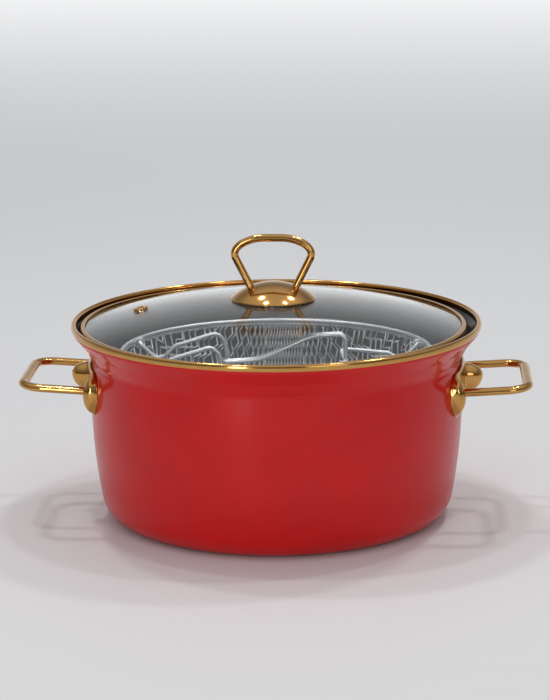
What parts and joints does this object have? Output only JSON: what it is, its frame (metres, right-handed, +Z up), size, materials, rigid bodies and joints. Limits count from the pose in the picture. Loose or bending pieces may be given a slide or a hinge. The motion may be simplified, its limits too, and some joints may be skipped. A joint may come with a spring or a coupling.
{
  "type": "frying casserole",
  "caption": "Round enamelled pot with two looped side handles, an inset domed glass lid with a bent rod knob, and a lift-out wire frying basket with folding handles.",
  "frame": {"origin": "centre of the pot base, on the surface it stands on", "axes": "+Z up, +X through the two side handles towards the side where the long basket handle is hinged, +Y towards the back"},
  "size_m": [0.3438, 0.2762, 0.1923],
  "materials": {
    "red_enamel": "glossy red vitreous enamel outside, glossy black inside, on pressed steel",
    "gold_steel": "polished gold-coloured plating on stainless steel",
    "clear_glass": "clear tempered glass",
    "plain_steel": "turned stainless steel",
    "chromed_wire": "bright chromed steel wire",
    "silicone": "black silicone rubber"
  },
  "bodies": {
    "pot": {"pot_body": "red_enamel", "rim_trim": "gold_steel", "left_bracket": "gold_steel", "right_bracket": "gold_steel", "left_handle_rod": "gold_steel", "right_handle_rod": "gold_steel"},
    "basket": {"basket_mesh": "chromed_wire", "basket_rim_wire": "chromed_wire", "basket_binding_wire": "chromed_wire", "basket_foot_wire": "chromed_wire", "basket_left_front_eye": "chromed_wire", "basket_left_back_eye": "chromed_wire", "basket_right_front_eye": "chromed_wire", "basket_right_back_eye": "chromed_wire"},
    "lid": {"lid_glass": "clear_glass", "lid_band": "gold_steel", "vent_eyelet": "gold_steel", "knob_cap": "gold_steel", "knob_rod": "gold_steel", "knob_boss": "plain_steel", "knob_upper_seal": "silicone", "knob_lower_seal": "silicone", "knob_washer": "plain_steel", "knob_screw": "plain_steel"},
    "long_handle": {"basket_long_handle": "chromed_wire"},
    "short_handle": {"basket_short_handle": "chromed_wire"}
  },
  "joints": [
    {"name": "basket_lift", "type": "slide", "parent": "pot", "child": "basket", "axis": [0, 0, 1], "range_m": [0, 0.18]},
    {"name": "lid_lift", "type": "slide", "parent": "basket", "child": "lid", "axis": [0, 0, 1], "range_m": [0, 0.26]},
    {"name": "long_handle_swing", "type": "hinge", "parent": "basket", "child": "long_handle", "pos_m": [0.09496, 0, 0.111], "axis": [0, 1, 0], "range_deg": [0, 120]},
    {"name": "short_handle_swing", "type": "hinge", "parent": "basket", "child": "short_handle", "pos_m": [-0.09496, 0, 0.111], "axis": [0, -1, 0], "range_deg": [0, 120]}
  ],
  "couplings": [
    {"joint": "long_handle_swing", "follows": "lid_lift", "rad_per_m": 8.055},
    {"joint": "short_handle_swing", "follows": "lid_lift", "rad_per_m": 8.055}
  ]
}
